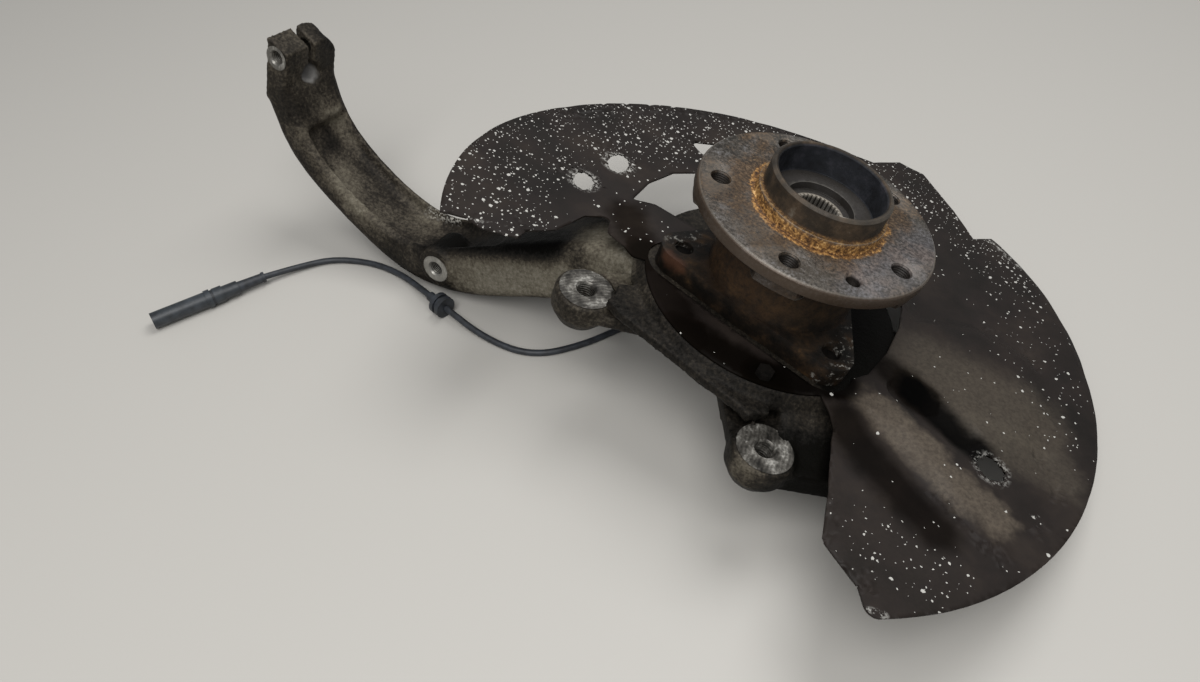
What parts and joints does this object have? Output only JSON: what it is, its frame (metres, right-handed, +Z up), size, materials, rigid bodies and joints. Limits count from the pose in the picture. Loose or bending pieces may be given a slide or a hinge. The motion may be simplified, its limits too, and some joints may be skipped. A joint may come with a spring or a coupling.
{
  "type": "steering knuckle",
  "caption": "Cast steering knuckle with a gooseneck arm and split clamp, a bolted wheel bearing with a spinning hub, a pressed dust shield and a wheel-speed sensor lead.",
  "frame": {"origin": "centre of the wheel's bolt circle, on the outer face of the hub flange", "axes": "+Z up from the surface that the knuckle lies on, +X along its length from the clamp to the shield's far wing; the hub axis leans 15.2 degrees from +Z towards +X"},
  "size_m": [0.6603, 0.4379, 0.182],
  "materials": {
    "cast_aluminium": "sand-cast, oily and grimy",
    "hub_steel": "machined steel, rusted in patches",
    "bearing_steel": "forged steel, dark rust",
    "race_steel": "ground",
    "ball_steel": "polished",
    "cage_nylon": "moulded",
    "seal_rubber": "matt",
    "encoder_rubber": "magnetised rubber",
    "bolt_steel": "phosphated, rusty",
    "shield_paint": "black paint, stone-chipped",
    "screw_steel": "rusty",
    "sensor_plastic": "moulded",
    "lead_rubber": "satin",
    "lead_jacket": "satin jacket",
    "connector_plastic": "moulded",
    "contact_brass": "plated"
  },
  "bodies": {
    "knuckle": {"knuckle_casting": "cast_aluminium", "bearing_outer_ring": "bearing_steel", "outboard_seal": "seal_rubber", "inboard_seal": "seal_rubber", "bearing_bolts": "bolt_steel", "dust_shield": "shield_paint", "shield_screws": "screw_steel", "wheel_speed_sensor": "sensor_plastic", "sensor_screw": "screw_steel", "sensor_sleeve": "lead_rubber", "sensor_cable": "lead_jacket", "cable_grommet": "lead_rubber", "connector_boot": "lead_rubber", "connector_body": "connector_plastic", "connector_seal": "lead_rubber", "connector_lock_ring": "connector_plastic", "connector_contacts": "contact_brass"},
    "hub": {"wheel_hub": "hub_steel", "bearing_inner_ring": "race_steel", "encoder_ring": "encoder_rubber"},
    "ball_set": {"outboard_balls": "ball_steel", "inboard_balls": "ball_steel", "outboard_cage": "cage_nylon", "inboard_cage": "cage_nylon"}
  },
  "joints": [
    {"name": "hub_spin", "type": "hinge", "parent": "knuckle", "child": "hub", "pos_m": [0, 0, 0], "axis": [0.2622, 0, 0.965], "continuous": true},
    {"name": "ball_set_spin", "type": "hinge", "parent": "knuckle", "child": "ball_set", "pos_m": [-0.01285, 0, -0.04729], "axis": [0.2622, 0, 0.965], "continuous": true}
  ],
  "couplings": [
    {"joint": "ball_set_spin", "follows": "hub_spin", "ratio": 0.43}
  ]
}
